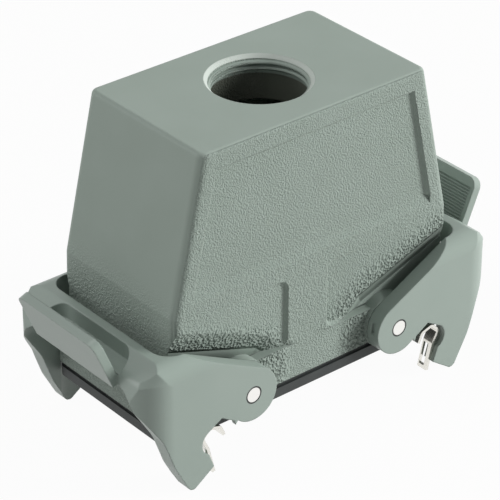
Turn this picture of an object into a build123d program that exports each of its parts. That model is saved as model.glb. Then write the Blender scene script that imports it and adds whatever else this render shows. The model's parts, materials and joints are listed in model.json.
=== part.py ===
from build123d import *
import os
from math import cos, radians, sin, tan

# Rectangular connector hood with two locking levers and a sixteen pole socket insert.
# Millimetres. X runs along the hood, Y across it, Z up. The ground is z = 0, where the
# four lever beaks stand, and the hood is centred on X = 0, Y = 0.

# Hood, heights above the mating face
base_length = 93.5
base_width = 43.9
ledge_height = 14.4
waist_step = 2.45
shoulder_step = 0.6
shoulder_height = 35.0
top_length = 69.6
top_width = 43.2
hood_height = 76.2
rim_height = 4.6
end_wall = 3.0
side_wall = 4.2
top_wall = 3.2
corner_radius = 2.3
top_edge_radius = 1.2

# Shallow panels on the long sides
panel_depth = 1.0
panel_wall = 0.9
panel_margin = 5.0
panel_top = 71.4
panel_bottom = 40.0
panel_slope = 2.2
rib_left = -8.6
rib_right = 3.8
lower_panel_depth = 1.0
lower_panel_top = 33.4
lower_panel_reach = 36.0
lower_panel_radius = 2.4

# Pocket above each lever arm, from the hinge axis and the ridge of the lever
pocket_depth = 2.4
pocket_draft = 68.0
pocket_toe = 17.0
pocket_start = 10.0
pocket_start_rise = 12.2
pocket_end_rise = 6.3
pocket_overrun = 12.0

# Cable entry
entry_thread = 25.0
entry_mouth = 26.8
entry_mouth_depth = 0.9
entry_collar = 31.0
entry_length = 12.0

# Hinges
hinge_spacing = 47.3
hinge_height = 9.14
pin_diameter = 3.94
pin_clearance = 0.07
lug_diameter = 14.6
arm_gap = 0.1
press_fit = 0.015

# Lever, measured from its hinge axis
side_gap = 1.05
end_gap = 0.85
arm_thickness = 4.0
lobe_radius = 7.2
lobe_slot_level = 1.4
lobe_slot_height = 2.8
lobe_slot_width = 1.2
lobe_slot_depth = 0.8
beak_reach = 19.34
beak_x = 18.2
beak_width = 1.5
ridge_thickness = 2.4
ridge_height = 17.6
ridge_lead = 5.2
arm_top_start = (-3.24, 6.4)
handle_depth = 7.0
handle_height = 7.4
corner_inset = 1.9
corner_drop = 3.6
heel_inset = 6.1
heel_drop = 2.4
shin_step = 4.3
shin_drop = 11.3
arm_rounds = {1: 3.0, 2: 1.2, 3: 4.0, 4: 6.0, 5: 12.0, 6: 12.0, 7: 1.8, 8: 1.0}
plan_corner = 9.0
crest_round = 5.0
slope_round = 6.0
slope_angle = 55.0
inner_corner = 5.0
channel_floor = 13.3
channel_margin = 7.2
channel_radius = 4.9
floor_thickness = 2.3
opening_corner = 7.0
opening_margin = 0.8

# Hook notch and latch spring, points from the hinge axis
notch_lobe = (6.0, -4.9)
notch_ceiling = (9.9, -2.5)
notch_crown = (14.6, -5.2)
notch_back = (15.9, -8.0)
notch_throat = (13.8, -11.4)
notch_lip = (12.35, -15.3)
notch_mouth = (2.0, -19.3)
lobe_foot = (4.0, -4.0)
spring_path = [(8.2, -8.6), (9.3, -6.0), (12.6, -5.0), (14.9, -7.2), (13.2, -10.6), (11.4, -18.0)]
spring_bend = 1.0
spring_thickness = 0.8
spring_width = 3.2
spring_seat = 0.02
spring_room = 0.9
spring_slot_width = 1.7
spring_slot_shift = 0.35
spring_slot_top = -11.0
spring_slot_bottom = -17.0
hook_wall = 1.2

# Grip tab on the lever
tab_offset = 0.1
tab_root_z = 11.0
tab_length = 14.34
tab_angle = 67.0
tab_thickness = 2.35
tab_gap = 0.6
tab_corner = 2.6
tab_ribs = 13
tab_rib_pitch = 0.78
tab_rib_depth = 0.35
tab_rib_margin = 1.2
tab_top_margin = 2.5

# Seal
seal_inset = 0.3
seal_width = 2.6
seal_height = 3.1
seal_lip = 0.5
groove_inset = 1.0
groove_width = 1.2
groove_depth = 1.6
seal_fit = 0.03

# Insert, inside the hood
insert_recess = 0.8
insert_end_gap = 1.5
insert_side_gap = 0.75
flange_height = 7.2
flange_thickness = 4.0
flange_corner = 3.0
screw_inset = 3.5
plug_end_step = 9.25
plug_side_step = 4.25
plug_corner = 2.0
comb_end_step = 1.0
comb_side_step = 0.75
comb_height = 15.0
fixing_screw = 4.0
fixing_head = 7.0
fixing_head_height = 2.6
fixing_slot = 1.0
fixing_slot_depth = 1.1
fixing_length = 16.0
fixing_fit = 0.25
fixing_end_gap = 2.0
thread_fit = 0.03
column_width = 7.8
column_rise = 20.0

# Contacts in two rows
contact_count = 8
contact_end_margin = 7.1
contact_side_margin = 6.25
contact_sleeve = 4.4
contact_bore = 2.6
contact_fit = 0.05
contact_mouth = 3.0
contact_mouth_depth = 1.6
contact_start = 1.7
contact_bore_end = 1.0
clamp_x = 5.0
clamp_y = 6.4
clamp_z = 9.0
clamp_floor = 1.5
wire_bore = 3.0
terminal_screw = 3.0
terminal_tip = 0.4
terminal_head = 4.4
terminal_head_height = 1.4
driver_slot = 0.7

# Earth contacts
earth_width = 8.0
earth_sheet = 0.8
earth_leg_start = 3.0
earth_plate = 7.9
earth_screw = 3.5
earth_screw_offset = 4.6
earth_screw_start = 0.8
earth_head = 6.4
earth_head_height = 2.2

# Derived sizes and places
waist_length = base_length - 2 * waist_step
shoulder_length = waist_length - 2 * shoulder_step
taper = (shoulder_length - top_length) / 2 / (hood_height - shoulder_height)
side_taper = (base_width - top_width) / 2 / hood_height
outer_side = max(base_width, top_width) / 2 + 1
mate_z = beak_reach - hinge_height
rim_z = mate_z + rim_height
ledge_z = mate_z + ledge_height
top_z = mate_z + hood_height
hinge_x = hinge_spacing / 2
hinge_z = mate_z + hinge_height
arm_inner = base_width / 2 + side_gap
lever_width = 2 * (arm_inner + arm_thickness)
ridge_inner = base_length / 2 + end_gap - hinge_x
ridge_back = ridge_inner + ridge_thickness
handle_reach = ridge_back + handle_depth
channel_half = arm_inner - channel_margin
tab_half = channel_half - tab_gap
flange_z = mate_z + flange_height
flange_top_z = flange_z + flange_thickness
face_z = mate_z + insert_recess
flange_length = base_length - 2 * (end_wall + insert_end_gap)
flange_width = base_width - 2 * (side_wall + insert_side_gap)
plug_length = flange_length - 2 * plug_end_step
plug_width = flange_width - 2 * plug_side_step
comb_width = plug_width + 2 * comb_side_step
contact_pitch = (plug_length - 2 * contact_end_margin) / (contact_count - 1)
contact_row = plug_width - 2 * contact_side_margin
clamp_level = flange_top_z + clamp_z / 2
earth_screw_x = plug_length / 2 + earth_screw_offset


def cylinder_y(radius, x, y0, y1, z):
    """Round bar along Y."""
    bar = Cylinder(radius, abs(y1 - y0), rotation=(90, 0, 0))
    return Pos(x, (y0 + y1) / 2, z) * bar


def cylinder_z(radius, x, y, z0, z1):
    """Round bar along Z."""
    return Pos(x, y, (z0 + z1) / 2) * Cylinder(radius, z1 - z0)


def flat_sided_z(sides, diameter, x, y, z0, z1):
    """Upright bar with flat sides, for small pieces that repeat."""
    return Pos(x, y, z0) * extrude(RegularPolygon(diameter / 2, sides), z1 - z0)


def flat_sided_y(sides, diameter, x, y0, y1, z):
    """Flat-sided bar along Y, for small pieces that repeat."""
    face = Pos(x, (y0 + y1) / 2, z) * (Plane.XZ * RegularPolygon(diameter / 2, sides))
    return extrude(face, abs(y1 - y0) / 2, both=True)


def block(x0, x1, y0, y1, z0, z1):
    """Box between two corners, given in any order."""
    place = Pos((x0 + x1) / 2, (y0 + y1) / 2, (z0 + z1) / 2)
    return place * Box(abs(x1 - x0), abs(y1 - y0), abs(z1 - z0))


def rounded_block(length, width, radius, z0, z1):
    """Upright block with round corners, centred on the hood."""
    return Pos(0, 0, z0) * extrude(RectangleRounded(length, width, radius), z1 - z0)


def centred_block(length, width, z0, z1):
    """Upright block with sharp corners, centred on the hood."""
    return Pos(0, 0, (z0 + z1) / 2) * Box(length, width, z1 - z0)


def turned(shape):
    """The same shape at the other end and side of the hood."""
    return Rot(0, 0, 180) * shape


# Hood

def half_length(height):
    """Half length of the tapered upper hood at a height above the mating face."""
    return top_length / 2 + (hood_height - height) * taper


def half_width(height):
    """Half width of the hood at a height above the mating face."""
    return base_width / 2 - height * side_taper


def end_profile(end_inset, top_inset, low):
    """Long section: upright waist behind the crossbar and tapered top."""
    waist = (waist_length / 2 - end_inset, low)
    shoulder = (shoulder_length / 2 - end_inset, mate_z + shoulder_height)
    crown = (half_length(hood_height - top_inset) - end_inset, top_z - top_inset)
    right = [waist, shoulder, crown]
    left = [(-x, z) for x, z in reversed(right)]
    return make_face(Polyline(*right, *left, close=True))


def hood_form(end_inset, side_inset, top_inset, low):
    """Closed form of the hood, shrunk by the wall for its cavity."""
    long_section = extrude(Plane.XZ * end_profile(end_inset, top_inset, low), base_width, both=True)
    foot = half_width(low - mate_z) - side_inset
    head = half_width(hood_height - top_inset) - side_inset
    high = top_z - top_inset
    cross = Plane.YZ * make_face(Polyline((-foot, low), (foot, low), (head, high), (-head, high), close=True))
    return long_section & extrude(cross, base_length, both=True)


def rounded_form():
    """Outside of the hood above its rim, with round corners and a soft top edge."""
    form = hood_form(0, 0, 0, rim_z)
    corners = [edge for edge in form.edges() if abs(edge.center().X) > 1 and abs(edge.center().Y) > 1]
    form = fillet(corners, corner_radius)
    crown = [edge for edge in form.edges() if edge.center().Z > top_z - 0.01]
    return fillet(crown, top_edge_radius)


def side_cut(face, floor_y, lowest):
    """Cut from outside the front long side inwards to floor_y, with sloping walls above a level."""
    outline = Plane(origin=(0, -floor_y, 0), x_dir=(1, 0, 0), z_dir=(0, -1, 0)) * face
    cut = extrude(outline, outer_side - floor_y)
    walls = [edge for edge in cut.edges().group_by(Axis.Y)[-1] if edge.center().Z > lowest]
    return chamfer(walls, panel_wall)


def upper_panel():
    """Shallow panel of the upper long side, with a sloping lower edge."""
    low = mate_z + panel_bottom
    high = mate_z + panel_top
    low_x = half_length(panel_bottom) - panel_margin
    high_x = half_length(panel_top) - panel_margin
    face = make_face(Polyline((-low_x, low), (low_x, low), (high_x, high), (-high_x, high), close=True))
    floor_y = half_width(panel_top) - panel_depth
    edge = low - panel_slope * (outer_side - floor_y) / (half_width(panel_bottom) - floor_y)
    slope = make_face(Polyline((floor_y, low), (outer_side, low), (outer_side, edge), close=True))
    wedge = mirror(extrude(Plane.YZ * slope, low_x, both=True), about=Plane.XZ)
    return side_cut(face, floor_y, low + panel_wall) + wedge


def lower_panel(rib, reach):
    """Panel beside the middle rib, deepest at the rib and fading towards the pocket."""
    high = mate_z + lower_panel_top
    floor_y = half_width(lower_panel_top) - lower_panel_depth
    wedge = make_face(Polyline((rib, -floor_y), (reach, -base_width / 2), (reach, -outer_side),
                               (rib, -outer_side), close=True))
    outline = Pos((rib + reach) / 2, (ledge_z + high) / 2) * RectangleRounded(
        abs(reach - rib), high - ledge_z, lower_panel_radius)
    body = Pos(0, 0, ledge_z) * extrude(wedge, high - ledge_z, dir=(0, 0, 1))
    return body & side_cut(outline, floor_y, mate_z)


def inset_outline(points, distance):
    """Corners of a convex outline, drawn clockwise, moved inwards by a distance."""
    moved = []
    for before, corner, after in zip(points[-1:] + points[:-1], points, points[1:] + points[:1]):
        arriving = (corner - before).normalized()
        leaving = (after - corner).normalized()
        turn = arriving + leaving
        moved.append(corner + Vector(turn.Y, -turn.X) * (distance / (1 + arriving.dot(leaving))))
    return moved


def lever_pocket():
    """Sloping recess above a lever arm, open at the end of the hood."""
    toe = Vector(hinge_x - pocket_toe, ledge_z)
    start = Vector(hinge_x - pocket_start, hinge_z + pocket_start_rise)
    end = Vector(base_length / 2, hinge_z + ridge_height + pocket_end_rise)
    low = toe + (toe - start).normalized() * pocket_overrun
    far = end + (end - start).normalized() * pocket_overrun
    outline = [low, start, far, Vector(far.X, low.Y)]
    slope = tan(radians(pocket_draft))
    side = half_width(ledge_height)
    floor = inset_outline(outline, pocket_depth * slope)
    mouth = inset_outline(outline, (side - outer_side) * slope)
    corners = [(point.X, pocket_depth - side, point.Y) for point in floor]
    corners += [(point.X, -outer_side, point.Y) for point in mouth]
    return ConvexPolyhedron(corners) & block(-base_length, base_length, -base_width, 0, ledge_z, top_z)


def hinge_lug(x):
    """Round bearing lug that stands out of the long side and fills the pocket behind it."""
    face = -base_width / 2
    lug = cylinder_y(lug_diameter / 2, x, -arm_inner + arm_gap, face, hinge_z)
    root = cylinder_y(lug_diameter / 2, x, face, face + pocket_depth, hinge_z)
    return lug + (root & block(-base_length, base_length, -base_width, 0, rim_z, top_z))


def pin_hole(x):
    """Hole for a hinge pin through the lug and the side wall."""
    inside = side_wall + 1 - base_width / 2
    return cylinder_y(pin_diameter / 2 + press_fit, x, -arm_inner - 1, inside, hinge_z)


def fixing_points():
    """Centres of the four insert screws."""
    across = flange_length / 2 - screw_inset
    along = flange_width / 2 - screw_inset
    return [(x * across, y * along) for x in (-1, 1) for y in (-1, 1)]


def insert_column(x, y):
    """Column that carries one corner of the insert, joined to the end wall."""
    inner = x - column_width / 2 if x > 0 else x + column_width / 2
    outer = base_length / 2 if x > 0 else -base_length / 2
    half = column_width / 2
    return block(inner, outer, y - half, y + half, flange_top_z, flange_top_z + column_rise)


def fixing_hole(x, y):
    """Threaded hole in the end of a column."""
    bottom = flange_top_z + fixing_length
    return flat_sided_z(8, fixing_screw + 2 * thread_fit, x, y, flange_top_z - 1, bottom)


def seal_groove():
    """Groove round the rim for the tongue of the seal."""
    length = base_length - 2 * groove_inset
    width = base_width - 2 * groove_inset
    ring = centred_block(length, width, rim_z - 1, rim_z + groove_depth)
    return ring - centred_block(length - 2 * groove_width, width - 2 * groove_width, rim_z - 2, ledge_z)


def hood_walls():
    """Hollow casting before its outside is detailed."""
    rim = rounded_block(base_length, base_width, corner_radius, rim_z, ledge_z)
    cavity = hood_form(end_wall, side_wall, top_wall, rim_z - 1)
    mouth = centred_block(base_length - 2 * end_wall, base_width - 2 * side_wall,
                          rim_z - 1, ledge_z - end_wall)
    outside = rounded_form() + rim
    columns = [insert_column(x, y) & outside for x, y in fixing_points()]
    collar = flat_sided_z(12, entry_collar, 0, 0, top_z - entry_length, top_z - top_wall / 2)
    shell = outside - cavity - mouth + collar
    for column in columns:
        shell = shell + column
    return shell


def hood_shell():
    """Die-cast hood with its entry, panels, pockets, lugs and insert columns."""
    shell = hood_walls()
    for panel in (upper_panel(), lower_panel(rib_right, lower_panel_reach),
                  lower_panel(rib_left, -lower_panel_reach)):
        shell = shell - panel - turned(panel)
    pocket = lever_pocket()
    pocket = pocket + mirror(pocket, about=Plane.YZ)
    shell = shell - pocket - turned(pocket)
    for x in (-hinge_x, hinge_x):
        shell = shell + hinge_lug(x) + turned(hinge_lug(x))
    for x in (-hinge_x, hinge_x):
        shell = shell - pin_hole(x) - turned(pin_hole(x))
    for x, y in fixing_points():
        shell = shell - fixing_hole(x, y)
    mouth = Cone(entry_thread / 2, entry_mouth / 2, entry_mouth_depth)
    shell = shell - Pos(0, 0, top_z - entry_mouth_depth / 2) * mouth
    shell = shell - cylinder_z(entry_thread / 2, 0, 0, top_z - entry_length - 1, top_z + 1)
    return shell - seal_groove()


def hood_seal():
    """Profile seal: a lip below the rim and a tongue in the groove."""
    outer_x = base_length - 2 * seal_inset
    outer_y = base_width - 2 * seal_inset
    lip = rounded_block(outer_x, outer_y, corner_radius, mate_z, mate_z + seal_height)
    lip = lip - centred_block(outer_x - 2 * seal_width, outer_y - 2 * seal_width, mate_z - 1, rim_z)
    lip = chamfer(lip.edges().group_by(Axis.Z)[0], seal_lip)
    tongue_x = base_length - 2 * groove_inset - 2 * seal_fit
    tongue_y = base_width - 2 * groove_inset - 2 * seal_fit
    width = groove_width - 2 * seal_fit
    tongue = centred_block(tongue_x, tongue_y, mate_z + seal_height, rim_z + groove_depth)
    return lip + (tongue - centred_block(tongue_x - 2 * width, tongue_y - 2 * width, mate_z, top_z))


# Levers, drawn with the hinge axis at the origin and the handle towards +X

def notch_outline(grow):
    """Hook notch open towards the middle of the hood, grown for the spring pocket."""
    lobe = (notch_lobe[0] - grow, notch_lobe[1] + grow * 0.6)
    ceiling = (notch_ceiling[0] - grow * 0.4, notch_ceiling[1] + grow)
    crown = (notch_crown[0] + grow * 0.7, notch_crown[1] + grow * 0.7)
    back = (notch_back[0] + grow, notch_back[1])
    throat = (notch_throat[0] + grow * 0.6, notch_throat[1])
    lip = (notch_lip[0] + grow * 0.6, notch_lip[1] - grow)
    mouth = (notch_mouth[0], notch_mouth[1] - grow)
    shape = [Line(lobe, ceiling), Line(ceiling, crown), ThreePointArc(crown, back, throat), Line(throat, lip),
             Line(lip, mouth), Line(mouth, lobe)]
    return make_face(shape)


def arm_outline():
    """Side view of the lever: lobe, rising arm, rounded corner, back edge and beak."""
    beak_back = beak_x + beak_width
    points = [arm_top_start, (ridge_inner - ridge_lead, ridge_height),
              (ridge_back, ridge_height), (handle_reach - corner_inset, ridge_height - corner_drop),
              (handle_reach, handle_height), (handle_reach - heel_inset, -heel_drop),
              (beak_back + shin_step, -shin_drop), (beak_back, -beak_reach), (beak_x, -beak_reach), notch_lip,
              lobe_foot]
    body = make_face(Polyline(*points, close=True))
    for index, radius in arm_rounds.items():
        x, z = points[index]
        corner = body.vertices().sort_by_distance((x, z, 0))[0]
        body = fillet(corner, radius)
    return body + Circle(lobe_radius)


def lever_blank():
    """Arm outline across the full width, rounded in plan, in end view and along the shoulder."""
    reach = 2 * handle_reach
    across = extrude(Plane.XZ * arm_outline(), lever_width / 2, both=True)
    length = handle_reach + 3 * lobe_radius
    plan = Pos(handle_reach - length / 2, 0, -reach) * extrude(
        RectangleRounded(length, lever_width, plan_corner), 2 * reach)
    height = ridge_height + beak_reach + crest_round
    end_view = Pos(0, ridge_height - height / 2) * RectangleRounded(lever_width, height, crest_round)
    along = extrude(Plane.YZ * end_view, reach, both=True)
    return across & plan & along & shoulder_section(reach)


def shoulder_section(reach):
    """Round-cornered section seen along the slope of the shoulder, above the handle's outer end."""
    lean = radians(slope_angle)
    top = (handle_reach - corner_inset, 0, ridge_height - corner_drop)
    view = Plane(origin=top, x_dir=(0, 1, 0), z_dir=(-cos(lean), 0, sin(lean)))
    face = Pos(0, reach) * RectangleRounded(lever_width, 2 * reach, slope_round)
    return extrude(view * face, 2 * reach, both=True)


def inner_space():
    """Room between the arms for the end of the hood."""
    length = ridge_inner + 3 * lobe_radius
    plan = Pos(ridge_inner - length / 2, 0) * RectangleRounded(length, 2 * arm_inner, inner_corner)
    return Pos(0, 0, -2 * beak_reach) * extrude(plan, 4 * beak_reach)


def end_opening():
    """Round-cornered opening under the crossbar, seen from the end."""
    high = channel_floor - floor_thickness
    height = high + 2 * beak_reach
    width = 2 * (arm_inner - opening_margin)
    face = Pos(0, high - height / 2) * RectangleRounded(width, height, opening_corner)
    return extrude(Plane.YZ * face, 2 * handle_reach)


def finger_channel():
    """Channel between the ridge and the grip tab."""
    length = 2 * handle_depth
    plan = Pos(ridge_back + length / 2, 0) * RectangleRounded(length, 2 * channel_half, channel_radius)
    return Pos(0, 0, channel_floor) * extrude(plan, ridge_height)


def grip_tab():
    """Leaning tab with rounded upper corners and fine ribs on its inner face."""
    plate = Pos(tab_thickness / 2, 0) * Rectangle(tab_thickness, 2 * tab_half)
    tab = extrude(plate, tab_length)
    tops = tab.edges().filter_by(Axis.X).group_by(Axis.Z)[-1]
    tab = fillet(tops, tab_corner)
    width = 2 * (tab_half - tab_rib_margin)
    for index in range(tab_ribs):
        level = tab_length - tab_top_margin - (index + 0.5) * tab_rib_pitch
        groove = Pos(0, 0, level) * Box(2 * tab_rib_depth, width, tab_rib_pitch / 2)
        tab = tab - groove
    lean = Rot(0, 90 - tab_angle, 0) * tab
    return Pos(handle_reach + tab_offset - tab_thickness, 0, tab_root_z) * lean


def spring_pocket(side):
    """Hollow behind the outer wall of the hook, where the latch spring lies."""
    y0 = side * (arm_inner - 1)
    y1 = side * (lever_width / 2 - hook_wall)
    outline = Pos(0, (y0 + y1) / 2, 0) * (Plane.XZ * notch_outline(spring_room))
    return extrude(outline, abs(y1 - y0) / 2, both=True)


def lobe_slot(side):
    """Small slot in the round end of an arm."""
    middle = side * (arm_inner + arm_thickness / 2)
    half = lobe_slot_width / 2
    return block(-lobe_radius - 1, lobe_slot_depth - lobe_radius, middle - half, middle + half,
                 lobe_slot_level - lobe_slot_height / 2, lobe_slot_level + lobe_slot_height / 2)


def lever():
    """One-piece moulded lever with two arms, crossbar, grip tab and hook notches."""
    body = lever_blank()
    body = body - inner_space() - end_opening() - finger_channel()
    body = body - extrude(Plane.XZ * notch_outline(0), lever_width, both=True)
    for side in (-1, 1):
        body = body - spring_pocket(side) - lobe_slot(side)
    body = body + grip_tab()
    hole = cylinder_y(pin_diameter / 2 + pin_clearance, 0, -lever_width, lever_width, 0)
    return body - hole


def latch_spring(side):
    """Slotted spring steel strip that lines the notch and clamps the peg."""
    middle = side * (lever_width / 2 - hook_wall - spring_seat - spring_width / 2)
    strip = trace(FilletPolyline(*spring_path, radius=spring_bend), spring_thickness)
    strip = extrude(Pos(0, middle, 0) * (Plane.XZ * strip), spring_width / 2, both=True)
    centre = middle - side * spring_slot_shift
    half = spring_slot_width / 2
    return strip - block(0, 2 * lobe_radius, centre - half, centre + half,
                         spring_slot_bottom, spring_slot_top)


def hinge_pin():
    """Press-fit pin, along -Y from the inner wall to the arm face."""
    return cylinder_y(pin_diameter / 2, 0, -lever_width / 2, side_wall - base_width / 2, 0)


# Insert

def contact_points():
    """Centres of the contacts in two rows, with the side that each row faces."""
    start = -(contact_count - 1) / 2 * contact_pitch
    return [(start + index * contact_pitch, side * contact_row / 2, side)
            for side in (-1, 1) for index in range(contact_count)]


def contact_cavity(x, y, side):
    """Stepped hole for one contact, with a pocket for its clamp."""
    mouth = flat_sided_z(8, contact_mouth, x, y, face_z - 1, face_z + 2 * contact_mouth_depth)
    bore = flat_sided_z(6, contact_sleeve + 2 * contact_fit, x, y,
                        face_z + contact_mouth_depth, flange_top_z + 1)
    wide = clamp_x / 2 + contact_fit
    inner = y - side * (clamp_y / 2 + contact_fit)
    pocket = block(x - wide, x + wide, inner, side * comb_width, flange_top_z, flange_top_z + comb_height + 1)
    return mouth + bore + pocket


def earth_slot(side):
    """Slot in the flange for the leg of an earth contact, and its screw hole."""
    near = side * plug_length / 2
    far = near + side * (earth_sheet + 2 * contact_fit)
    wide = earth_width / 2 + contact_fit
    slot = block(near, far, -wide, wide, face_z, flange_top_z + 1)
    return slot + flat_sided_z(8, earth_screw + 2 * contact_fit, side * earth_screw_x, 0,
                               flange_z + earth_screw_start, flange_top_z + 1)


def insert_body():
    """Insulating moulding: plug face, mounting flange and terminal comb."""
    plug = rounded_block(plug_length, plug_width, plug_corner, face_z, flange_z)
    flange = rounded_block(flange_length, flange_width, flange_corner, flange_z, flange_top_z)
    comb = centred_block(plug_length - 2 * comb_end_step, comb_width,
                         flange_top_z, flange_top_z + comb_height)
    body = plug + flange + comb
    for x, y, side in contact_points():
        body = body - contact_cavity(x, y, side)
    for x, y in fixing_points():
        body = body - flat_sided_z(8, fixing_screw + 2 * fixing_fit, x, y, flange_z - 1, flange_top_z + 1)
    for side in (-1, 1):
        body = body - earth_slot(side)
    return body


def socket_contact(x, y, side):
    """Socket sleeve with a screw clamp at the wire end."""
    sleeve = flat_sided_z(6, contact_sleeve, x, y, face_z + contact_start, flange_top_z)
    clamp = block(x - clamp_x / 2, x + clamp_x / 2, y - clamp_y / 2, y + clamp_y / 2,
                  flange_top_z, flange_top_z + clamp_z)
    bore = flat_sided_z(6, contact_bore, x, y, face_z, flange_z - contact_bore_end)
    wire_way = flat_sided_z(6, wire_bore, x, y, flange_top_z + clamp_floor, flange_top_z + clamp_z + 1)
    screw_way = flat_sided_y(6, terminal_screw + 2 * contact_fit, x, y, y + side * clamp_y, clamp_level)
    return sleeve + clamp - bore - wire_way - screw_way


def terminal_screws():
    """Slotted clamp screws of all contacts."""
    screws = []
    for x, y, side in contact_points():
        seat = y + side * clamp_y / 2
        face = seat + side * terminal_head_height
        shank = flat_sided_y(6, terminal_screw, x, y + side * terminal_tip, seat, clamp_level)
        head = flat_sided_y(8, terminal_head, x, seat, face, clamp_level)
        slot = block(x - terminal_head, x + terminal_head, face, face - side * driver_slot,
                     clamp_level - driver_slot / 2, clamp_level + driver_slot / 2)
        screws.append(shank + head - slot)
    return Compound(screws)


def fixing_screws():
    """Captive screws that hold the insert to the hood columns."""
    screws = []
    for x, y in fixing_points():
        low = flange_z - fixing_head_height
        head = flat_sided_z(12, fixing_head, x, y, low, flange_z)
        shank = flat_sided_z(8, fixing_screw, x, y, flange_z, flange_top_z + fixing_length - fixing_end_gap)
        slot = block(x - fixing_head, x + fixing_head, y - fixing_slot / 2, y + fixing_slot / 2,
                     low - 1, low + fixing_slot_depth)
        screws.append(head + shank - slot)
    return Compound(screws)


def earth_contact(side):
    """Bent sheet: a plate on the flange and a leg down the end of the plug."""
    near = side * (plug_length / 2 + contact_fit)
    half = earth_width / 2
    far = side * (plug_length / 2 + earth_plate)
    top = flange_top_z + earth_sheet
    leg = block(near, near + side * earth_sheet, -half, half, face_z + earth_leg_start, top)
    plate = block(near, far, -half, half, flange_top_z, top)
    hole = flat_sided_z(8, earth_screw + 2 * contact_fit, side * earth_screw_x, 0, flange_z, ledge_z)
    return leg + plate - hole


def earth_screws():
    """Slotted screws of the two earth contacts."""
    screws = []
    for side in (-1, 1):
        x = side * earth_screw_x
        seat = flange_top_z + earth_sheet
        top = seat + earth_head_height
        head = flat_sided_z(12, earth_head, x, 0, seat, top)
        shank = flat_sided_z(8, earth_screw, x, 0, flange_z + earth_screw_start + contact_fit, seat)
        slot = block(x - earth_head, x + earth_head, -driver_slot / 2, driver_slot / 2,
                     top - driver_slot, top + 1)
        screws.append(head + shank - slot)
    return Compound(screws)


def build():
    """All nodes by name."""
    nodes = {"hood_shell": hood_shell(), "hood_seal": hood_seal()}
    right = Pos(hinge_x, 0, hinge_z)
    left = Rot(0, 0, 180) * right
    nodes["right_lever"] = right * lever()
    nodes["left_lever"] = left * lever()
    for end, place in (("right", right), ("left", left)):
        for name, side in (("front", -1), ("rear", 1)):
            hand = side if end == "right" else -side
            pin = hinge_pin() if hand < 0 else mirror(hinge_pin(), about=Plane.XZ)
            nodes[f"{end}_{name}_hinge_pin"] = place * pin
            nodes[f"{end}_{name}_latch_spring"] = place * latch_spring(hand)
    nodes["insert_body"] = insert_body()
    for number, (x, y, side) in enumerate(contact_points(), start=1):
        nodes[f"socket_contact_{number:02d}"] = socket_contact(x, y, side)
    nodes["terminal_screws"] = terminal_screws()
    nodes["insert_fixing_screws"] = fixing_screws()
    nodes["left_earth_contact"] = earth_contact(-1)
    nodes["right_earth_contact"] = earth_contact(1)
    nodes["earth_screws"] = earth_screws()
    return nodes


os.makedirs("parts", exist_ok=True)
for node, shape in build().items():
    export_step(shape, f"parts/{node}.step")
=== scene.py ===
# %% [markdown]
# # A rectangular connector hood with two locking levers
# The real object is a die-cast aluminium hood with grey powder coat. A cable comes in through the
# threaded hole on top, sixteen contacts sit in a moulding inside, and two hinged levers pull the hood
# onto its housing. The solids come ready made, in metres, as one object for each piece. This lesson gives
# them their finishes and adds what is too fine for solids: the thread, the contact rings and the contact
# numbers. Nothing that is loaded is moved or reshaped.

# %% Load the solids
import json
import math

import bpy
from mathutils import Matrix, Vector


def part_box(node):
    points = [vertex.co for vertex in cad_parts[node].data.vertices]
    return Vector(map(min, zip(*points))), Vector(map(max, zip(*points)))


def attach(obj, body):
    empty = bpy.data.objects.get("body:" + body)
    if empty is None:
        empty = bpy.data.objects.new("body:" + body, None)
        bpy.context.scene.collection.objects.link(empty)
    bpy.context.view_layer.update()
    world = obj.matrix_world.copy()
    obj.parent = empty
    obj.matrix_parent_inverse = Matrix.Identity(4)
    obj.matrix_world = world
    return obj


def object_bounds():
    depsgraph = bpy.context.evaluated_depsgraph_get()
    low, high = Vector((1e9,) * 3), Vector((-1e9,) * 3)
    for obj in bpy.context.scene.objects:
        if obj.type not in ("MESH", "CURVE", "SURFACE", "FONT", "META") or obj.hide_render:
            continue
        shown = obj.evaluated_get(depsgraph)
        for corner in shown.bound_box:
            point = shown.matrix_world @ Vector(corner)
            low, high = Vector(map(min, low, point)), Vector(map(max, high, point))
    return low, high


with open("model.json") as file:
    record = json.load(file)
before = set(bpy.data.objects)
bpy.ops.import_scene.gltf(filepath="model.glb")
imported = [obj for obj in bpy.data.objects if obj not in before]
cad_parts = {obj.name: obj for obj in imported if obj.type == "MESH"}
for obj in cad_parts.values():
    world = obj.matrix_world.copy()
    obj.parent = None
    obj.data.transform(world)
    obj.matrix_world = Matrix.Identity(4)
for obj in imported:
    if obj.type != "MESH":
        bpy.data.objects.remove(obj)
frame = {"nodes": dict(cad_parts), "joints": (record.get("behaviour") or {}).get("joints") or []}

nodes = frame["nodes"]
solid_low, solid_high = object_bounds()
print("pieces:", len(nodes), "size in mm:", [round(1000 * s, 1) for s in solid_high - solid_low])

# %% [markdown]
# ## The camera
# The camera's place was worked out from the photograph's edges: parallel edges of the hood meet far away,
# so the picture was taken with a long lens from about 0.65 m. It could be set by eye in the viewport, but
# three angles and a distance are easier to check and to change. The shift moves the picture in its frame
# without turning the camera, as a view camera does. The place was worked out on a hood that stood on its
# rim and was about 2 % smaller, so the distance is scaled up and the aim is raised with the rim.

# %% Camera
AZIMUTH, ELEVATION, ROLL = math.radians(-40.071), math.radians(30.114), math.radians(0.416)
SCALED_UP, RIM_HEIGHT = 1.02085, 0.0102
DISTANCE = 0.653072 * SCALED_UP
AIM = Vector((0, 0, 0.038 * SCALED_UP + RIM_HEIGHT))
# Picture side, focal length and the point that the camera looks straight at, all in pixels.
PICTURE, FOCAL, STRAIGHT_X, STRAIGHT_Y = 500, 2706.283, 258.207, 213.383
SENSOR_MM = 36

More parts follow.
